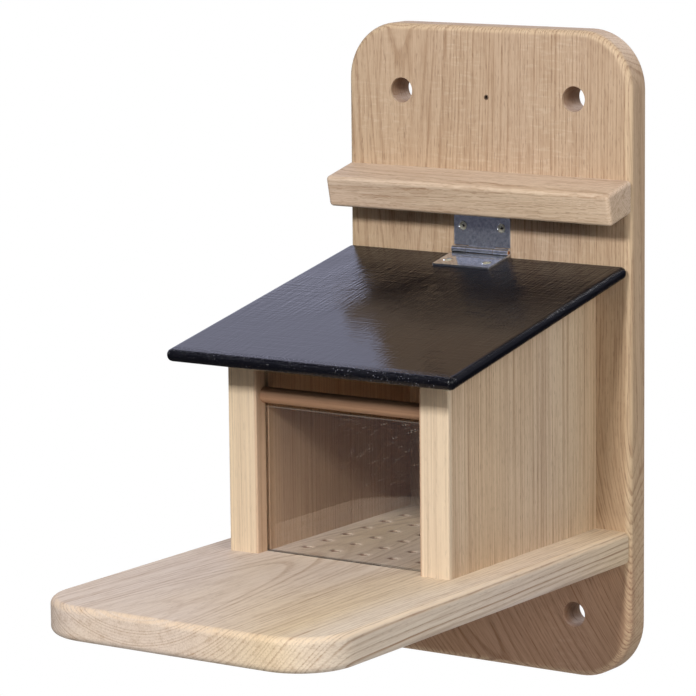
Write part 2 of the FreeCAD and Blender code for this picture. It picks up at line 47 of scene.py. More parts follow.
# Shader tools
class Signal:
    # One shader socket that takes part in plain arithmetic.
    def __init__(self, desk, socket):
        self.desk = desk
        self.socket = socket

    def __add__(self, other):
        return self.desk.one("ADD", self, other)

    def __radd__(self, other):
        return self.desk.one("ADD", other, self)

    def __sub__(self, other):
        return self.desk.one("SUBTRACT", self, other)

    def __rsub__(self, other):
        return self.desk.one("SUBTRACT", other, self)

    def __mul__(self, other):
        return self.desk.one("MULTIPLY", self, other)

    def __rmul__(self, other):
        return self.desk.one("MULTIPLY", other, self)

    def __truediv__(self, other):
        return self.desk.one("DIVIDE", self, other)

    def __rtruediv__(self, other):
        return self.desk.one("DIVIDE", other, self)

    def __pow__(self, other):
        return self.desk.one("POWER", self, other)


class ShaderDesk:
    # A node tree being written: add() makes any node from its type, its settings and its inputs.
    def __init__(self, tree):
        self.tree = tree
        tree.nodes.clear()

    def add(self, kind, settings=None, values=None, out=0):
        node = self.tree.nodes.new("ShaderNode" + kind)
        for key, value in (settings or {}).items():
            setattr(node, key, value)
        for key, value in (values or {}).items():
            if isinstance(value, Signal):
                self.tree.links.new(value.socket, node.inputs[key])
            else:
                node.inputs[key].default_value = value
        return Signal(self, node.outputs[out]) if len(node.outputs) else None

    def several(self, names, kind, values=None):
        # a node of which more than one output is used
        outputs = self.add(kind, {}, values).socket.node.outputs
        return [Signal(self, outputs[name]) for name in names]

    def split(self, vector):
        return self.several(("X", "Y", "Z"), "SeparateXYZ", {0: vector})

    def join(self, x, y, z):
        return self.add("CombineXYZ", {}, {0: x, 1: y, 2: z})

    def place(self, kind="Object"):
        return self.split(self.add("TexCoord", {}, {}, out=kind))

    def stretch(self, point, pace, shift=(0.0, 0.0, 0.0)):
        # each part of the point times its own pace, in cycles per metre, plus its own shift
        parts = []
        for part, speed, move in zip(point, pace, shift):
            parts.append(part * speed + move if move else part * speed)
        return self.join(*parts)

    def smooth(self, value, low, high):
        # 0 below low, 1 above high, with a soft passage between them
        settings = {"interpolation_type": "SMOOTHSTEP"}
        return self.add("MapRange", settings, {0: value, 1: low, 2: high, 3: 0.0, 4: 1.0})

    def noise(self, vector, detail=2.0, rough=0.5):
        values = {"Vector": vector, "Scale": 1.0, "Detail": detail, "Roughness": rough}
        return self.add("TexNoise", {}, values)

    def lineNoise(self, value, detail):
        values = {"W": value, "Scale": 1.0, "Detail": detail}
        return self.add("TexNoise", {"noise_dimensions": "1D"}, values)

    def cells(self, vector):
        # scattered points: the distance to the nearest one, and that point's own random value
        values = {"Vector": vector, "Scale": 1.0}
        distance, colour = self.several(("Distance", "Color"), "TexVoronoi", values)
        return distance, self.split(colour)[0]

    def one(self, operation, value, second=0.0):
        # one Math node
        return self.add("Math", {"operation": operation}, {0: value, 1: second})

    def clamp(self, value):
        return self.add("Clamp", {}, {0: value, 1: 0.0, 2: 1.0})

    def mixColor(self, factor, first, second, blend="MIX"):
        settings = {"data_type": "RGBA", "blend_type": blend, "clamp_factor": True}
        return self.add("Mix", settings, {0: factor, 6: first, 7: second}, out=2)

    def bump(self, strength, distance, height):
        return self.add("Bump", {}, {"Strength": strength, "Distance": distance, "Height": height})

    def finish(self, values):
        surface = self.add("BsdfPrincipled", {}, values)
        self.add("OutputMaterial", {}, {0: surface})


def newMaterial(name):
    material = bpy.data.materials.new(name)
    material.use_nodes = True
    return material, ShaderDesk(material.node_tree)


def srgb(red, green, blue):
    # display colour 0..255 to scene-linear
    values = []
    for part in (red, green, blue):
        part = part / 255
        values.append(part / 12.92 if part <= 0.04045 else ((part + 0.055) / 1.055) ** 2.4)
    return (*values, 1.0)


def dress(material, name):
    # gives a material to every slot of the named node
    piece = nodes[name]
    for place in piece.material_slots:
        place.material = material
    if not piece.material_slots:
        piece.data.materials.append(material)


white = (1.0, 1.0, 1.0, 1.0)

# Wood. Every board is solid: its rings are shells round a pith line, so faces show arches, edges show
# straight lines and ends show curves. A pace is in cycles per metre across, through and along the grain.
# A pass is the pair of noise values at which a pattern starts and is full. Each board adds its own pale
# and warm tone, pith and seed.
woodBase = {
    "pink": srgb(206, 178, 158),
    "line": srgb(150, 114, 82),
    "pore": srgb(112, 80, 56),
    "ray": srgb(238, 222, 198),
    "lean": (0.0, 0.0),
    "bow": (0.0, 0.0),
    "sway": 0.004,
    "swayPace": (9.0, 9.0, 2.6),
    "swayShift": 5.1,
    "ripple": 0.0008,
    "ripplePace": (60.0, 60.0, 16.0),
    "ringWidth": 0.0019,
    "groupPace": 0.23,
    "groupSwing": 2.4,
    "ringDepth": 0.44,
    "ringTonePace": 0.9,
    "ringTonePass": (0.30, 0.68),
    "springRise": (0.0, 0.10),
    "springFall": (0.16, 0.60),
    "fibreDepth": 0.34,
    "fibrePace": (1000.0, 1000.0, 7.0),
    "fibrePass": (0.44, 0.68),
    "streakDepth": 0.26,
    "streakPace": (190.0, 190.0, 3.0),
    "streakPass": (0.46, 0.72),
    "poreDepth": 0.26,
    "poreLeast": 0.3,
    "porePace": (1500.0, 1500.0, 190.0),
    "porePass": (0.54, 0.66),
    "patchPace": (15.0, 15.0, 3.0),
    "patchPass": (0.32, 0.68),
    "blush": 0.5,
    "blushPace": (8.0, 8.0, 4.0),
    "blushPass": (0.35, 0.68),
    "fleck": 0.0,
    "rayPace": (110.0, 110.0, 480.0),
    "rayPass": (0.50, 0.70),
    "rayAreaPace": (15.0, 15.0, 8.0),
    "rayAreaPass": (0.48, 0.66),
    "rough": 0.60,
    "fibreRough": 0.2,
    "gloss": 0.40,
    "bump": 0.30,
    "bumpHeight": 0.0003,
    "relief": (0.4, 0.3, 0.8),
    "edge": None,
    "tickPass": (0.40, 0.66),
    "tickDepth": (0.7, 0.6),
    "faces": (),
    "faceFull": 0.4,
    "figured": None,
    "holes": (),
}


def woodMaterial(name, grain, **changes):
    # rings = |(across, through) - pith - lean * along - bow * drop squared + sway * noise| / ringWidth,
    # with drop for how far a point lies below the bow's start; colour follows the share between two rings
    look = {**woodBase, **changes}
    material, desk = newMaterial(name)
    x, y, z = desk.place()
    point = {"x": (z, y, x), "y": (x, z, y), "z": (x, y, z), "side": (y, x, z)}[grain]
    across, through, along = point
    seed = look["seed"]

    bendU = desk.noise(desk.stretch(point, look["swayPace"], (seed, 0.0, 0.0))) - 0.5
    bendV = desk.noise(desk.stretch(point, look["swayPace"], (0.0, seed, look["swayShift"]))) - 0.5
    drop = desk.one("MINIMUM", along - look["bow"][1], 0.0)
    u = across - look["pith"][0] - along * look["lean"][0]
    u = u - drop * drop * look["bow"][0] + bendU * look["sway"]
    v = through - look["pith"][1] - along * look["lean"][1] + bendV * look["sway"]
    ripple = desk.noise(desk.stretch(point, look["ripplePace"], (0.0, seed, 0.0))) - 0.5
    waver = ripple * look["ripple"]
    radius = desk.one("SQRT", u * u + v * v) + waver
    count = radius / look["ringWidth"]
    count = count + desk.lineNoise(count * look["groupPace"] + seed, 1.0) * look["groupSwing"]
    phase = desk.one("FRACT", count)
    ringTone = desk.lineNoise(count * look["ringTonePace"] + seed, 2.0)
    spring = desk.smooth(phase, *look["springRise"]) * (1.0 - desk.smooth(phase, *look["springFall"]))

    # fibres and streaks waver with the rings, pores don't
    wavy = (u + waver, v + waver, along)
    fibre = desk.noise(desk.stretch(wavy, look["fibrePace"], (0.0, 0.0, seed)), 2.0, 0.6)
    streak = desk.noise(desk.stretch(wavy, look["streakPace"], (0.0, 0.0, seed)), 3.0, 0.6)
    dots = desk.noise(desk.stretch((u, v, along), look["porePace"], (0.0, 0.0, seed)), 1.0)
    pores = desk.smooth(dots, *look["porePass"]) * (look["poreLeast"] + (1.0 - look["poreLeast"]) * spring)
    patch = desk.noise(desk.stretch(point, look["patchPace"], (seed, 0.0, 0.0)), 1.0)
    blush = desk.noise(desk.stretch(point, look["blushPace"], (0.0, seed, 0.0)), 1.0)

    body = desk.mixColor(desk.smooth(patch, *look["patchPass"]), look["pale"], look["warm"])
    body = desk.mixColor(desk.smooth(blush, *look["blushPass"]) * look["blush"], body, look["pink"])
    if look["fleck"]:
        # pale ray flecks lie across the grain, in patches
        rays = desk.noise(desk.stretch(point, look["rayPace"], (0.0, 0.0, seed)))
        where = desk.noise(desk.stretch(point, look["rayAreaPace"], (0.0, seed, 0.0)), 1.0)
        flecks = desk.smooth(rays, *look["rayPass"]) * desk.smooth(where, *look["rayAreaPass"])
        body = desk.mixColor(flecks * look["fleck"], body, look["ray"])
    place = {"x": x, "y": y, "z": z}
    figure = look["ringDepth"]
    if look["figured"]:
        # the rings stand out more on one face
        face = look["figured"]
        outwards = place[face["axis"]] * face["side"]
        onFace = desk.smooth(outwards, face["level"] - face["depth"], face["level"])
        figure = figure + onFace * face["strength"]
    depth = desk.clamp(
        spring * desk.smooth(ringTone, *look["ringTonePass"]) * figure
        + desk.smooth(fibre, *look["fibrePass"]) * look["fibreDepth"]
        + desk.smooth(streak, *look["streakPass"]) * look["streakDepth"]
    )
    colour = desk.mixColor(depth, body, look["line"])
    colour = desk.mixColor(pores * look["poreDepth"], colour, look["pore"])
    for face in look["faces"]:
        # a tone on one face or beyond one height, and only on the front where the face says so
        outwards = place[face["axis"]] * face["side"]
        full = face["level"] - face["depth"] * look["faceFull"]
        onFace = desk.smooth(outwards, face["level"] - face["depth"], full)
        if "front" in face:
            onFace = onFace * desk.smooth(y * -1.0, face["front"] * 0.5, face["front"])
        colour = desk.mixColor(onFace * face["strength"], colour, face["colour"], face.get("blend", "MIX"))
    for holes in look["holes"]:
        colour = holeShadeTone(desk, place, holes, colour)
    if look["edge"]:
        springTick, fibreTick = look["tickDepth"]
        ticks = desk.clamp(1.0 - spring * springTick - desk.smooth(fibre, *look["tickPass"]) * fibreTick)
        colour = edgeToneAndHighlight(desk, place, look["edge"], ticks, colour)
    fibreHeight, springHeight, poreHeight = look["relief"]
    height = fibre * fibreHeight - spring * springHeight - pores * poreHeight
    normal = desk.bump(look["bump"], look["bumpHeight"], height)
    rough = look["rough"] + (fibre - 0.5) * look["fibreRough"]
    values = {"Base Color": colour, "Roughness": rough, "Normal": normal}
    desk.finish({**values, "Specular IOR Level": look["gloss"]})
    return material


# Drilled holes: soft is the rim's width, mouth the depths below the face where the painted shade inside is
# full and starts, and the torn sides are ranges of the direction from the hole's middle, -1 left and 1
# right.
drilled = {
    "soft": 0.0003,
    "mouth": (0.0012, 0.0002),
    "tornPace": (500.0, 500.0, 1.0),
    "pale": srgb(248, 230, 212),
    "litFibreShare": 0.6,
    "litFibreSide": (-0.5, 0.4),
    "rimShadeShare": 0.75,
    "rimShadeSide": (-0.9, -0.5),
}


def holeShadeTone(desk, place, holes, colour):
    # distance to the nearest hole of a grid: p - pitch * round(p / pitch), with p counted from the first
    # hole and the round number kept within the grid; the bores are painted browner and darker inside, as
    # shade
    near = []
    first, second, third = holes["axes"]
    spots = (place[first], place[second])
    for value, middle, pitch, count in zip(spots, holes["middle"], holes["pitch"], holes["count"]):
        start = middle - pitch * (count - 1) / 2
        step = desk.one("ROUND", (value - start) / pitch)
        step = desk.one("MINIMUM", desk.one("MAXIMUM", step, 0.0), count - 1.0)
        near.append(value - start - step * pitch)
    radius, level = holes["radius"], holes["level"]
    reach = desk.one("SQRT", near[0] * near[0] + near[1] * near[1])
    inside = 1.0 - desk.smooth(reach, radius, radius + drilled["soft"])
    full, start = drilled["mouth"]
    below = 1.0 - desk.smooth(place[third] * holes["side"], level - full, level - start)
    if holes["torn"]:
        # pale torn fibres on the lit side of the rim, painted lighter as a highlight, and painted shade on
        # the other side
        ragged = desk.noise(desk.stretch((*spots, 0.0), drilled["tornPace"]), 1.0) * 2.0
        torn = 1.0 - desk.smooth(reach, radius, radius + ragged * holes["torn"])
        hand = near[0] / desk.one("MAXIMUM", reach, 0.0001)
        pale = torn * desk.smooth(hand, *drilled["litFibreSide"]) * (1.0 - inside * below)
        rimShade = torn * (1.0 - desk.smooth(hand, *drilled["rimShadeSide"]))
        colour = desk.mixColor(pale * drilled["litFibreShare"], colour, drilled["pale"])
        colour = desk.mixColor(rimShade * drilled["rimShadeShare"], colour, holes["colour"])
    return desk.mixColor(inside * below * holes["strength"], colour, holes["colour"])


def edgeDistance(desk, a, b, middle, half, corner):
    # distance inwards from a rounded rectangle: corner - |max(q, 0)| - min(max(qa, qb), 0),
    # with q = |p - middle| - (half - corner)
    qa = desk.one("ABSOLUTE", a - middle[0]) - (half[0] - corner)
    qb = desk.one("ABSOLUTE", b - middle[1]) - (half[1] - corner)
    outA = desk.one("MAXIMUM", qa, 0.0)
    outB = desk.one("MAXIMUM", qb, 0.0)
    reach = desk.one("SQRT", outA * outA + outB * outB)
    inner = desk.one("MINIMUM", desk.one("MAXIMUM", qa, qb), 0.0)
    return corner - reach - inner


# Sanded roundings, yellower and with a painted highlight: the band's distance in from the outline, and its
# depths below the face
sandedAndLit = {
    "band": (0.0020, 0.0050),
    "crest": (0.0045, 0.0015),
}


def edgeToneAndHighlight(desk, place, edge, ticks, colour):
    # the sanded roundings are yellower and painted lighter as a highlight: near the outline and near the
    # face at the same time
    first, second, third = edge["axes"]
    inwards = edgeDistance(desk, place[first], place[second], edge["middle"], edge["half"], edge["corner"])
    near = 1.0 - desk.smooth(inwards, *sandedAndLit["band"])
    start, full = sandedAndLit["crest"]
    crest = desk.smooth(place[third] * edge["side"], edge["level"] - start, edge["level"] - full)
    return desk.mixColor(near * crest * ticks * edge["strength"], colour, edge["colour"])


# Back board
boardLow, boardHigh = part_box("back_board")
# the board's roundings are yellower, with a painted highlight
boardEdge = {
    "axes": ("x", "z", "y"), "side": -1.0, "level": -boardLow.y, "corner": 0.035, "strength": 0.46,
    "middle": (0.0, (boardLow.z + boardHigh.z) / 2), "half": (boardHigh.x, (boardHigh.z - boardLow.z) / 2),
    "colour": srgb(220, 194, 156),
}
# painted shade inside the pilot hole and the bores
pilot = {
    "axes": ("x", "z", "y"), "middle": (0.0, 0.1548), "pitch": (1.0, 1.0), "count": (1, 1),
    "radius": 0.0015, "side": -1.0, "level": -boardLow.y + 0.001, "strength": 0.9,
    "colour": srgb(64, 44, 32), "torn": 0.0,
}
bores = {
    "axes": ("x", "z", "y"), "middle": (0.0, 0.0), "pitch": (0.122, 0.313), "count": (2, 2),
    "radius": 0.00785, "side": -1.0, "level": -boardLow.y - 0.001, "strength": 0.5,
    "colour": srgb(140, 100, 72), "torn": 0.0,
}
# painted shade: the front of the board below the floor is darker and pinker, where the floor shades it
underFloorShade = {
    "axis": "z", "side": -1.0, "level": 0.150, "depth": 0.045, "front": -boardLow.y,
    "strength": 1.0, "colour": srgb(238, 223, 220), "blend": "MULTIPLY",
}
boardLook = {
    "pale": srgb(198, 172, 145), "warm": srgb(196, 168, 135), "pink": srgb(193, 166, 144),
    "line": srgb(152, 118, 88), "pith": (-0.062, 0.028), "lean": (0.0, -0.05), "bow": (2.7, -0.03),
    "seed": 1.7, "sway": 0.005, "ringDepth": 0.48, "poreDepth": 0.34, "fleck": 0.17,
    "edge": boardEdge, "holes": (pilot, bores), "faces": (underFloorShade,),
}
dress(woodMaterial("boardWood", "z", **boardLook), "back_board")

# Floor board
floorLow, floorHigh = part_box("floor_board")
# the floor's roundings are yellower, with a painted highlight
floorEdge = {
    "axes": ("x", "y", "z"), "side": 1.0, "level": floorHigh.z, "corner": 0.035, "strength": 0.40,
    "middle": (0.0, floorLow.y / 2), "half": (floorHigh.x, -floorLow.y / 2),
    "colour": srgb(216, 184, 142),
}
# painted shade inside the drain holes, with a painted highlight and painted shade on their torn rims
drain = {
    "axes": ("x", "y", "z"), "middle": (-0.0016, -0.1010), "pitch": (0.0202, 0.021), "count": (5, 6),
    "radius": 0.003, "side": 1.0, "level": floorHigh.z, "strength": 0.80,
    "colour": srgb(128, 90, 68), "torn": 0.0026,
}
floorLook = {
    "pale": srgb(221, 205, 186), "warm": srgb(220, 197, 162), "pink": srgb(214, 197, 184),
    "line": srgb(162, 130, 102), "pith": (-0.02, -0.012), "lean": (0.02, 0.05),
    "seed": 4.2, "sway": 0.008, "ringWidth": 0.0022, "blush": 0.8, "fibreDepth": 0.26, "poreDepth": 0.2,
    "edge": floorEdge, "holes": (drain,),
    "figured": {"axis": "x", "side": 1.0, "level": floorHigh.x, "depth": 0.004, "strength": 0.34},
}
dress(woodMaterial("floorWood", "y", **floorLook), "floor_board")

# Sides of the house
sideLow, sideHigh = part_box("left_side")
paleFront = {
    "axis": "y", "side": -1.0, "level": -sideLow.y, "depth": 0.004,
    "strength": 0.42, "colour": srgb(228, 212, 186),
}
wallLook = {
    "pale": srgb(220, 197, 166), "warm": srgb(220, 193, 156), "line": srgb(154, 118, 88),
    "ringWidth": 0.0015, "blush": 0.30, "ringDepth": 0.36, "fibreDepth": 0.42, "poreDepth": 0.34,
}
# node, where its inner face looks, pith, seed and how much painted shade browns the inner face
wallRuns = (
    ("left_side", 1.0, (-0.30, 0.05), 8.1, 0.44),
    ("right_side", -1.0, (-0.34, 0.02), 12.6, 0.62),
)
for wall, side, pith, seed, innerShade in wallRuns:
    # the inner faces are painted browner and darker, as shade inside the house
    inner = {
        "axis": "x", "side": side, "level": sideHigh.x, "depth": 0.002,
        "strength": innerShade, "colour": srgb(176, 134, 106),
    }
    faces = (paleFront, inner)
    dress(woodMaterial(wall + "Wood", "side", pith=pith, seed=seed, faces=faces, **wallLook), wall)

# Rain ledge
ledgeLook = {
    "pale": srgb(212, 191, 168), "warm": srgb(213, 189, 158), "pith": (0.17, -0.09), "lean": (0.02, 0.0),
    "seed": 15.0, "sway": 0.010, "ripple": 0.0036, "ripplePace": (60.0, 60.0, 85.0),
    "fibrePace": (1000.0, 1000.0, 26.0), "streakPace": (190.0, 190.0, 14.0),
    "blush": 0.7, "ringDepth": 0.30, "fleck": 0.20,
}
dress(woodMaterial("ledgeWood", "x", **ledgeLook), "rain_ledge")

# Crossbar
dowelLook = {
    "pale": srgb(170, 134, 106), "warm": srgb(162, 124, 94), "pink": srgb(162, 122, 100),
    "line": srgb(126, 88, 62), "pith": (0.05, 0.02), "seed": 21.0, "ringDepth": 0.2, "poreDepth": 0.15,
    "rough": 0.5, "bump": 0.15,
}
dress(woodMaterial("dowelWood", "x", **dowelLook), "crossbar")
print("boards and crossbar dressed")

# Lid paint. The first height of ridges and weave holds everywhere, and the second is added where the brush
# worked longer. Front and arris are distances in from the front edge and from the sides.
lidLow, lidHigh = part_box("lid")
paint = {
    "black": (0.003, 0.003, 0.005, 1.0),
    "gloss": 0.23,
    "rough": 0.085,
    "strokeRough": 0.06,
    "frontRough": 0.08,
    "arrisRough": 0.14,
    "front": (0.003, 0.0075),
    "arris": (0.0040, 0.0015),
    "ridgePace": (640.0, 11.0, 300.0),
    "ridgeHeight": (0.42, 1.75),
    "strokePace": (140.0, 3.0, 60.0),
    "strokeHeight": 0.2,
    "weavePace": (30.0, 640.0, 300.0),
    "weaveHeight": (0.30, 0.95),
    "lumpPace": (60.0, 60.0, 60.0),
    "lumpHeight": 0.12,
    "gritPace": (800.0, 800.0, 800.0),
    "gritPass": (0.52, 0.70),
    "gritHeight": 1.3,
    "workedFrom": (-0.17, -0.10),
    "workedPace": (14.0, 10.0, 1.0),
    "workedPass": (0.30, 0.60),
    "bump": 0.6,
    "bumpHeight": 0.0004,
    # pale nibs on the front edge, painted as glints
    "nibGlint": srgb(176, 178, 190),
    "nibGlintPace": (980.0, 980.0, 980.0),
    "nibGlintSize": (0.10, 0.36),
    "nibGlintShare": 0.6,
    "nibGlintFrom": 0.95,
    "nibGlintFade": 0.08,
    "crowdMiddle": 0.055,
    "crowdReach": (0.010, 0.045),
    "crowdMore": 0.26,
}


def paintMaterial():
    # Brushed gloss paint over wood: fine ridges run with the grain, a weave crosses them, and the front end
    # grain stays pitted, with pale nibs, painted as glints, that crowd round one spot.
    material, desk = newMaterial("lidPaint")
    point = desk.place()
    x, y = point[:2]
    ridges = desk.noise(desk.stretch(point, paint["ridgePace"]), 3.0, 0.6)
    strokes = desk.noise(desk.stretch(point, paint["strokePace"]))
    weave = desk.noise(desk.stretch(point, paint["weavePace"]))
    lumps = desk.noise(desk.stretch(point, paint["lumpPace"]))
    grit = desk.noise(desk.stretch(point, paint["gritPace"]), 1.0)
    frontFull, frontEnd = paint["front"]
    front = 1.0 - desk.smooth(y, lidLow.y + frontFull, lidLow.y + frontEnd)
    longer = desk.noise(desk.stretch((x, y, 0.0), paint["workedPace"]))
    worked = desk.smooth(y, *paint["workedFrom"]) * desk.smooth(longer, *paint["workedPass"])
    ridgeHeight = paint["ridgeHeight"][0] + paint["ridgeHeight"][1] * worked
    weaveHeight = paint["weaveHeight"][0] + paint["weaveHeight"][1] * worked
    flat = ridges * ridgeHeight + strokes * paint["strokeHeight"] + weave * weaveHeight
    flat = flat + lumps * paint["lumpHeight"]
    height = flat * (1.0 - front) + desk.smooth(grit, *paint["gritPass"]) * front * paint["gritHeight"]
    normal = desk.bump(paint["bump"], paint["bumpHeight"], height)
    arrisStart, arrisFull = paint["arris"]
    arris = desk.smooth(desk.one("ABSOLUTE", x), lidHigh.x - arrisStart, lidHigh.x - arrisFull)
    rough = paint["rough"] + (strokes - 0.5) * paint["strokeRough"]
    rough = rough + front * paint["frontRough"] + arris * paint["arrisRough"]
    distance, chance = desk.cells(desk.stretch(point, paint["nibGlintPace"]))
    nibGlints = 1.0 - desk.smooth(distance, *paint["nibGlintSize"])
    away = desk.smooth(desk.one("ABSOLUTE", x - paint["crowdMiddle"]), *paint["crowdReach"])
    crowd = paint["nibGlintFrom"] - paint["crowdMore"] * (1.0 - away)
    nibGlints = nibGlints * front * desk.smooth(chance, crowd, crowd + paint["nibGlintFade"])
    colour = desk.mixColor(nibGlints * paint["nibGlintShare"], paint["black"], paint["nibGlint"])
    values = {"Base Color": colour, "Roughness": rough, "Normal": normal}
    desk.finish({**values, "Specular IOR Level": paint["gloss"]})
    return material


dress(paintMaterial(), "lid")

# Window pane. Rim and foot are distances from its upper and lower edge; the dust is thickest in one corner.
pane = {
    "mirror": 0.062,
    "rough": 0.03,
    "haze": 0.002,
    "dust": srgb(215, 205, 190),
    "dustPace": (480.0, 1.0, 480.0),
    "dustSize": (0.10, 0.24),
    "dustPicked": (0.40, 0.70),
    "dustShare": 0.36,
    "dustLeast": 0.14,
    "cornerAcross": (-0.03, 0.055),
    "cornerDown": 0.070,
    "rim": (0.0006, 0.0002),
    "rimShare": 0.16,
    "foot": (0.0003, 0.0008),
    "footShare": 0.35,
    "footColour": srgb(70, 62, 52),
    "tinting": 6.0,
}


def paneMaterial():
    # Clear sheet: alpha is the mirror share plus dust, so light passes straight through the rest.
    low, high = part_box("window_pane")
    material, desk = newMaterial("clearPane")
    x, y, z = desk.place()
    # mirror share, alike on both sides of the sheet: straight + (1 - straight) * facing to the fifth
    facing = desk.add("LayerWeight", {}, {"Blend": 0.5}, out="Facing")
    mirror = pane["mirror"] + (1.0 - pane["mirror"]) * facing ** 5.0
    distance, chance = desk.cells(desk.stretch((x, 0.0, z), pane["dustPace"]))
    corner = desk.smooth(x, *pane["cornerAcross"]) * desk.smooth(z, high.z - pane["cornerDown"], high.z)
    picked = desk.smooth(chance, *pane["dustPicked"])
    thick = pane["dustLeast"] + (1.0 - pane["dustLeast"]) * corner
    dust = (1.0 - desk.smooth(distance, *pane["dustSize"])) * picked * thick
    rimStart, rimFull = pane["rim"]
    rim = desk.smooth(z, high.z - rimStart, high.z - rimFull)
    # painted shade along the foot, where the pane stands on the floor
    footFull, footEnd = pane["foot"]
    foot = 1.0 - desk.smooth(z, low.z + footFull, low.z + footEnd)
    solid = desk.clamp(dust * pane["dustShare"] + pane["haze"] + rim * pane["rimShare"])
    alpha = desk.clamp(mirror * (1.0 - solid) + solid + foot * pane["footShare"])
    colour = desk.mixColor(foot, pane["dust"], pane["footColour"])
    colour = desk.mixColor(1.0 - desk.clamp(solid * pane["tinting"] + foot), colour, white)
    metal = 1.0 - desk.clamp(solid / desk.one("MAXIMUM", alpha, 0.001) + foot)
    desk.finish({"Base Color": colour, "Metallic": metal, "Roughness": pane["rough"], "Alpha": alpha})
    return material


dress(paneMaterial(), "window_pane")
print("lid and pane dressed")

# Metal
lidSlope = math.radians(11.5)
metalBase = {
    "colour": srgb(238, 240, 244),
    "spangle": srgb(190, 195, 206),
    "spanglePace": (480.0, 480.0, 480.0),
    "spanglePass": (0.35, 0.70),
    "spangleRough": 0.14,
    "spangleHeight": 0.6,
    "linePace": (1500.0, 120.0, 120.0),
    "lineRough": 0.08,
    "rough": 0.13,
    "plating": 1.0,
    "bare": 0.12,
    "barePass": (0.62, 0.75),
    "bump": 0.12,
    "bumpHeight": 0.0001,
    "arris": None,
    "wornPass": (0.25, 0.55),
    "wornMetal": 0.15,
    "wornRough": 0.08,
    "seam": None,
    "shade": None,
    "shadeMetal": 0.6,
    "shadeRough": 0.4,
}


def metalMaterial(name, **changes):
    # Zinc plate: faint spangles and fine rolling lines; worn arrises are a little duller, a painted shadow
    # lies where a knuckle meets the plate, and a recess takes the shade.
    look = {**metalBase, **changes}
    material, desk = newMaterial(name)
    point = desk.place()
    x, y, z = point
    cloud = desk.noise(desk.stretch(point, look["spanglePace"]), 3.0, 0.6)
    lines = desk.noise(desk.stretch(point, look["linePace"]), 2.0, 0.6)
    colour = desk.mixColor(desk.smooth(cloud, *look["spanglePass"]), look["colour"], look["spangle"])
    rough = look["rough"] + (cloud - 0.5) * look["spangleRough"] + (lines - 0.5) * look["lineRough"]
    metal = look["plating"] - desk.smooth(cloud, *look["barePass"]) * look["bare"]
    if look["arris"]:
        middle, start, full = look["arris"]
        worn = desk.smooth(desk.one("ABSOLUTE", x - middle), start, full)
        worn = worn * desk.smooth(lines, *look["wornPass"])
        metal = metal * (1.0 - worn * look["wornMetal"])
        rough = rough + worn * look["wornRough"]
    if look["seam"]:
        # painted shadow where the roll's end lies over the plate: distance to a line along x,
        # in the slanting frame of the lid
        seam = look["seam"]
        inner, soft = seam["inner"], seam["soft"]
        fore, high = y - seam["axis"].y, z - seam["axis"].z
        ahead = fore * math.cos(lidSlope) + high * math.sin(lidSlope) - seam["line"][0]
        above = high * math.cos(lidSlope) - fore * math.sin(lidSlope) - seam["line"][1]
        reach = desk.one("SQRT", ahead * ahead + above * above)
        offset = x - seam["axis"].x
        leftRoll = 1.0 - desk.smooth(offset, -inner - soft, -inner + soft)
        rightRoll = desk.smooth(offset, inner - soft, inner + soft)
        wide = leftRoll * seam["wide"] + rightRoll * seam["narrow"] + 0.00001
        dark = (1.0 - desk.smooth(reach / wide, *seam["fade"])) * desk.clamp(leftRoll + rightRoll)
        colour = desk.mixColor(dark, colour, seam["colour"])
        metal = metal * (1.0 - dark)
        rough = rough + dark * seam["rough"]
    if look["shade"]:
        recess = desk.add("Attribute", {"attribute_name": "recess"}, {}, out="Fac")
        colour = desk.mixColor(recess, colour, look["shade"])
        metal = metal * (1.0 - recess * look["shadeMetal"])
        rough = rough + recess * look["shadeRough"]
    normal = desk.bump(look["bump"], look["bumpHeight"], lines + cloud * look["spangleHeight"])
    desk.finish({"Base Color": colour, "Metallic": metal, "Roughness": rough, "Normal": normal})
    return material


# Hinge: a leaf's arris is its middle and the two distances from there between which it gets worn
leafLow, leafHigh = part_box("hinge_wall_leaf")
pinLow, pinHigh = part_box("hinge_pin")
leafMiddle, leafHalf = (leafLow.x + leafHigh.x) / 2, (leafHigh.x - leafLow.x) / 2
leafLook = {"plating": 0.935, "arris": (leafMiddle, leafHalf - 0.0008, leafHalf - 0.00024)}
# painted shadow on the lid leaf where the knuckles lie over it
knuckleShadowLine = {
    "axis": (pinLow + pinHigh) / 2, "line": (-0.00178, -0.00115), "inner": 0.0098, "soft": 0.0002,
    "wide": 0.00085, "narrow": 0.00036, "fade": (0.7, 1.1), "colour": srgb(16, 16, 18), "rough": 0.5,
}
pinLook = {"colour": srgb(176, 112, 60), "spangle": srgb(110, 66, 38), "rough": 0.5}
dress(metalMaterial("zincPlate", **leafLook), "hinge_wall_leaf")
dress(metalMaterial("zincLidPlate", seam=knuckleShadowLine, **leafLook), "hinge_lid_leaf")
dress(metalMaterial("pinRust", **pinLook), "hinge_pin")

# Screws. The head's sizes are shares of its radius; pitch and tip are multiples of the shank's radius.
yellowLook = {
    "colour": srgb(240, 238, 222), "spangle": srgb(224, 218, 190), "shade": srgb(46, 36, 20),
    "rough": 0.30, "plating": 0.7,
}
yellowZinc = metalMaterial("yellowZinc", **yellowLook)
screw = {
    "around": 72,
    "faceRows": 26,
    "coneRows": 8,
    "shankRows": 90,
    "faceStart": 0.04,
    "rim": 0.06,
    "dish": 0.10,
    "arm": 0.52,
    "slot": 0.15,
    "hub": 0.26,
    "soft": 0.07,
    "depth": 0.42,
    "bevel": 0.5,
    "bevelFrom": 0.94,
    "pitch": 0.55,
    "thread": 0.16,
    "threadStart": 12,  # full after a twelfth of the shank
    "tip": 2.4,
    "tipLeast": 0.02,
    "hingeShank": 0.52,
    "woodShank": 0.50,
    "firstTurn": 0.4,
    "nextTurn": 0.9,
}


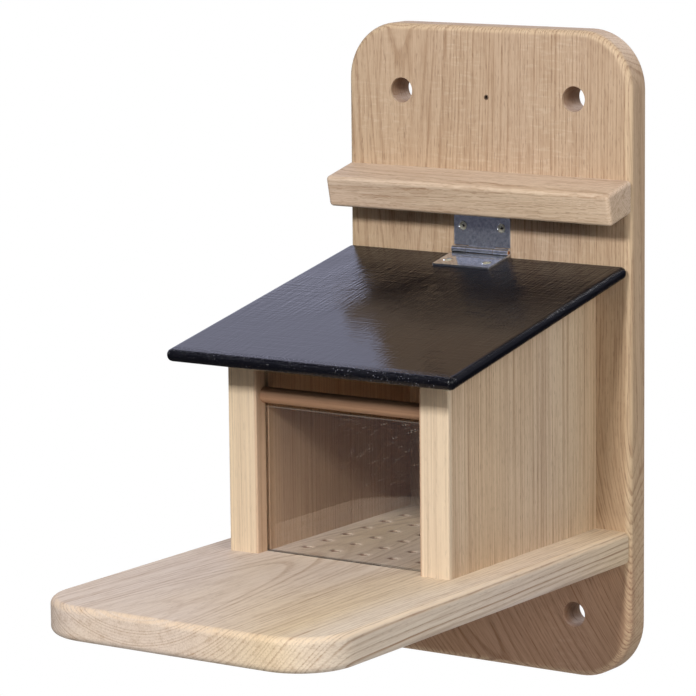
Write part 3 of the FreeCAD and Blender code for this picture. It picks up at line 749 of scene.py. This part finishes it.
def turnedMesh(name, rings, attribute):
    # rings[i, j] is the point at row i and angle j; the two ends are closed by fans to one point each
    rows, around = rings.shape[:2]
    points = np.concatenate([rings.reshape(-1, 3), rings[0].mean(0)[None], rings[-1].mean(0)[None]])
    i, j = np.meshgrid(np.arange(rows - 1), np.arange(around), indexing="ij")
    nextJ = (j + 1) % around
    low, high = i * around, (i + 1) * around
    quads = np.stack([low + j, high + j, high + nextJ, low + nextJ], -1).reshape(-1, 4)
    spin = np.arange(around)
    first, last = rows * around, rows * around + 1
    head = np.stack([np.full(around, first), spin, (spin + 1) % around], -1)
    base = (rows - 1) * around
    tail = np.stack([np.full(around, last), base + (spin + 1) % around, base + spin], -1)
    mesh = bpy.data.meshes.new(name)
    mesh.from_pydata(points.tolist(), [], quads.tolist() + head.tolist() + tail.tolist())
    values = np.concatenate([attribute.ravel(), [attribute[0].mean()], [0.0]])
    mesh.attributes.new("recess", "FLOAT", "POINT").data.foreach_set("value", values.astype(np.float32))
    mesh.shade_smooth()
    piece = bpy.data.objects.new(name, mesh)
    bpy.context.scene.collection.objects.link(piece)
    return piece


def within(value, edge):
    # 1 inside the edge and 0 outside it, with a soft passage
    return np.clip((edge - value) / screw["soft"] + 0.5, 0, 1)


def makeScrew(node, axis, shankShare, body, turn):
    # Radius falls from the rim along a cone to the shank, and the thread is a triangle wave of
    # (height / pitch + angle). The head's face is a shallow dish, share squared, with a cross sunk where
    # |a| or |b| is under the slot's half width.
    low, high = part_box(node)
    radius = (high.x - low.x) / 2
    middle = (low + high) / 2
    if axis == "lid":
        outwards = Vector((0.0, -math.sin(lidSlope), math.cos(lidSlope)))
        forward, upward = radius * math.cos(lidSlope), radius * math.sin(lidSlope)
        centre = Vector((middle.x, low.y + forward, high.z - upward))
        long = (centre.z - low.z) / math.cos(lidSlope)
    else:
        outwards = Vector(axis)
        centre = middle + outwards * (abs(outwards.dot(high - low)) / 2)
        long = abs(outwards.dot(high - low))
    side = Vector((1.0, 0.0, 0.0))
    over = outwards.cross(side)
    shank = radius * shankShare

    angle = np.linspace(0, 2 * math.pi, screw["around"], endpoint=False)[None, :]
    share = np.linspace(screw["faceStart"], 1.0, screw["faceRows"])[:, None]
    a, b = share * np.cos(angle + turn), share * np.sin(angle + turn)
    small, large = np.minimum(abs(a), abs(b)), np.maximum(abs(a), abs(b))
    bars = within(small, screw["slot"]) * within(large, screw["arm"])
    cross = np.maximum(bars, within(share, screw["hub"]) * np.ones_like(a))
    bevel = screw["bevel"] * np.clip(share - screw["bevelFrom"], 0, 1)
    crown = (share ** 2 - 1) * screw["dish"] - cross * screw["depth"] - bevel
    faceR = share * np.ones_like(a) * radius
    faceH = crown * radius

    cone = np.linspace(0, 1, screw["coneRows"])[1:, None]
    coneR = (radius + (shank - radius) * cone) * np.ones_like(angle)
    coneH = (-screw["rim"] * radius - (radius - shank) * cone) * np.ones_like(angle)
    drop = np.linspace(0, 1, screw["shankRows"])[1:, None]
    start = -screw["rim"] * radius - (radius - shank)
    shankH = (start - (long + start) * drop) * np.ones_like(angle)
    tooth = np.abs(((shankH / (screw["pitch"] * shank) + angle / (2 * math.pi)) % 1.0) * 2 - 1)
    taper = np.clip((shankH + long) / (screw["tip"] * shank), screw["tipLeast"], 1)
    cut = screw["thread"] * (1 - tooth) * np.clip(drop * screw["threadStart"], 0, 1)
    shankR = shank * taper * (1 - cut)

    ringR = np.concatenate([faceR, coneR, shankR])
    ringH = np.concatenate([faceH, coneH, shankH])
    basis = np.array([side, over, outwards])
    local = np.stack([ringR * np.cos(angle), ringR * np.sin(angle), ringH], -1)
    rings = local @ basis + np.array(centre)
    recess = np.concatenate([cross, np.zeros_like(coneR), np.zeros_like(shankR)])
    piece = turnedMesh(node + "_turned", rings, recess)
    piece.data.materials.append(yellowZinc)
    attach(piece, body)
    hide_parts(node)
    return piece


# nodes, where the head looks, shank's share of the head's radius, body and finish
screwRuns = (
    ("hinge_wall_screw", (0, -1, 0), screw["hingeShank"], "feeder", "yellow_zinc_screw"),
    ("hinge_lid_screw", "lid", screw["hingeShank"], "lid", "yellow_zinc_screw"),
    ("left_foot_screw", (0, 0, -1), screw["woodShank"], "feeder", "wood_screw"),
    ("right_foot_screw", (0, 0, -1), screw["woodShank"], "feeder", "wood_screw"),
    ("ledge_screw", (0, 1, 0), screw["woodShank"], "feeder", "wood_screw"),
    ("floor_screw", (0, 1, 0), screw["woodShank"], "feeder", "wood_screw"),
    ("left_side_screw", (0, 1, 0), screw["woodShank"], "feeder", "wood_screw"),
    ("right_side_screw", (0, 1, 0), screw["woodShank"], "feeder", "wood_screw"),
)
for start, axis, shankShare, body, finish in screwRuns:
    for index, node in enumerate(name for name in nodes if name.startswith(start)):
        turn = screw["firstTurn"] + screw["nextTurn"] * index
        makeScrew(node, axis, shankShare, body, turn)
print("hinge dressed and screws made")

# Camera
view = {
    "azimuth": 34.22,
    "elevation": 9.39,
    "roll": -0.61,
    "distance": 2.27246,
    "aim": (0.0, -0.060, -0.1015),
    "shiftRight": -0.06339,
    "shiftUp": 0.10772,
    "lens": 194.58,
    "sensor": 36.0,
    "farEnd": 50.0,
}


def aimedFrom(azimuth, elevation):
    # azimuth 0 is the front, 90 the right side
    azimuth, elevation = math.radians(azimuth), math.radians(elevation)
    flat = math.cos(elevation)
    return Vector((math.sin(azimuth) * flat, -math.cos(azimuth) * flat, math.sin(elevation)))


def placeCamera():
    # back points from the object to the camera, right and up span the picture, turned by the roll
    azimuth, roll = math.radians(view["azimuth"]), math.radians(view["roll"])
    back = aimedFrom(view["azimuth"], view["elevation"])
    right = Vector((math.cos(azimuth), math.sin(azimuth), 0.0))
    up = back.cross(right)
    turnedRight = right * math.cos(roll) + up * math.sin(roll)
    turnedUp = up * math.cos(roll) - right * math.sin(roll)
    centre = Vector(view["aim"]) + turnedRight * view["shiftRight"] + turnedUp * view["shiftUp"]
    data = bpy.data.cameras.new("camera")
    data.sensor_fit = "HORIZONTAL"
    data.sensor_width = view["sensor"]
    data.lens = view["lens"]
    data.clip_end = view["farEnd"]
    camera = bpy.data.objects.new("camera", data)
    bpy.context.scene.collection.objects.link(camera)
    turn = Matrix((turnedRight, turnedUp, back)).transposed().to_4x4()
    camera.matrix_world = Matrix.Translation(centre + back * view["distance"]) @ turn
    bpy.context.scene.camera = camera


placeCamera()

# Light
lampAim = Vector((0.0, -0.1, 0.0))
lamps = {
    "key": {"azimuth": 6.0, "elevation": 31.0, "distance": 1.8, "size": 0.24, "power": 27.0},
    "right": {"azimuth": 65.0, "elevation": 22.0, "distance": 2.2, "size": 1.0, "power": 16.2},
    "top": {"azimuth": 0.0, "elevation": 80.0, "distance": 2.2, "size": 1.2, "power": 1.2},
    "rear": {"azimuth": 178.0, "elevation": 30.0, "distance": 2.4, "size": 1.0, "power": 20.0},
}


def addLamp(name, azimuth, elevation, distance, size, power):
    back = aimedFrom(azimuth, elevation)
    data = bpy.data.lights.new(name, "AREA")
    data.energy = power
    data.size = size
    lamp = bpy.data.objects.new(name, data)
    bpy.context.scene.collection.objects.link(lamp)
    place = Matrix.Translation(lampAim + back * distance)
    lamp.matrix_world = place @ back.to_track_quat("Z", "Y").to_matrix().to_4x4()


for lampName, lampValues in lamps.items():
    addLamp(lampName, **lampValues)

# Floor
stage = {
    "drop": 0.55,
    "reach": 1.3,
    "steps": 4,
    "colour": (0.70, 0.70, 0.71, 1.0),
    "mirrored": (0.10, 0.10, 0.11, 1.0),
    "pale": 0.46,
    "fade": (0.70, 1.27),
}


def addFloor():
    # a flat sheet: z is constant, x and y run over the grid
    steps = stage["steps"]
    line = steps + 1
    side = np.linspace(-stage["reach"], stage["reach"], line)
    gridX, gridY = np.meshgrid(side, side, indexing="ij")
    level = np.full(gridX.size, boardLow.z - stage["drop"])
    points = np.stack([gridX.ravel(), gridY.ravel(), level], 1)
    first = (np.arange(steps)[:, None] * line + np.arange(steps)[None, :]).ravel()
    faces = np.stack([first, first + line, first + line + 1, first + 1], 1)
    mesh = bpy.data.meshes.new("floor")
    mesh.from_pydata(points.tolist(), [], faces.tolist())
    floor = bpy.data.objects.new("floor", mesh)
    bpy.context.scene.collection.objects.link(floor)
    material, desk = newMaterial("floorWhite")
    glossy, seen = desk.several(("Is Glossy Ray", "Is Camera Ray"), "LightPath")
    colour = desk.mixColor(glossy, stage["colour"], stage["mirrored"])
    matt = desk.add("BsdfDiffuse", {}, {"Color": colour})
    pale = desk.add("Emission", {}, {"Color": white, "Strength": seen * stage["pale"]})
    # the sheet fades into the white round it: reach = sqrt(x * x + y * y)
    x, y, z = desk.place()
    reach = desk.one("SQRT", x * x + y * y)
    gone = desk.smooth(reach, *stage["fade"]) * seen
    lit = desk.add("AddShader", {}, {0: matt, 1: pale})
    clear = desk.add("BsdfTransparent")
    desk.add("OutputMaterial", {}, {0: desk.add("MixShader", {}, {0: gone, 1: lit, 2: clear})})
    mesh.materials.append(material)


addFloor()

# World: what mirrors see, and the soft light from each side. Each pair is a range of one part of the ray's
# direction, or of how near it is to the window's.
mirrors = {
    "tint": (0.76, 0.77, 1.0, 1.0),
    "least": 0.035,
    "front": 0.07,
    "frontPass": (-0.3, 0.1),
    "back": 1.32,
    "backPass": (-0.2, 0.2),
    "backRise": (-0.10, 0.22),
    "backFall": (0.60, 0.84),
    "backRight": (-0.1, 0.3),
    "backRightLess": 0.75,
    "window": aimedFrom(-34.0, 42.0),
    "windowPass": (0.93, 0.985),
    "windowLevel": 0.4,
}
sky = {"right": 0.22, "left": 0.04, "front": 0.05, "back": 0.30, "up": 0.22, "down": 0.02}


def setWorld():
    # white to the camera, pale and bluish to mirrors behind the object, dim to mirrors in front of it
    world = bpy.data.worlds.new("studio")
    bpy.context.scene.world = world
    world.use_nodes = True
    desk = ShaderDesk(world.node_tree)
    rayKinds = ("Is Camera Ray", "Is Glossy Ray", "Is Transmission Ray")
    seen, glossy, through = desk.several(rayKinds, "LightPath")
    x, y, z = desk.place("Generated")
    behind = desk.smooth(y, *mirrors["backPass"]) * desk.smooth(z, *mirrors["backRise"])
    behind = behind * (1.0 - desk.smooth(z, *mirrors["backFall"]))
    dimmed = 1.0 - desk.smooth(x, *mirrors["backRight"]) * mirrors["backRightLess"]
    behind = behind * dimmed * mirrors["back"]
    frontal = 1.0 - desk.smooth(y, *mirrors["frontPass"])
    aim = mirrors["window"]
    window = desk.smooth(x * aim.x + y * aim.y + z * aim.z, *mirrors["windowPass"]) * mirrors["windowLevel"]
    mirrored = mirrors["least"] + frontal * mirrors["front"] + behind + window
    sides = {"right": x, "left": x * -1.0, "front": y * -1.0, "back": y, "up": z, "down": z * -1.0}
    ambient = sum(desk.one("MAXIMUM", sides[key], 0.0) * level for key, level in sky.items())
    plain = 1.0 - desk.one("MAXIMUM", desk.one("MAXIMUM", seen, glossy), through)
    strength = desk.one("MAXIMUM", seen, through) + glossy * mirrored + plain * ambient
    tint = desk.mixColor(glossy, white, mirrors["tint"])
    background = desk.add("Background", {}, {"Color": tint, "Strength": strength})
    desk.add("OutputWorld", {}, {0: background})


setWorld()
bpy.context.scene.view_settings.view_transform = "Standard"
print("camera, lamps and floor placed")
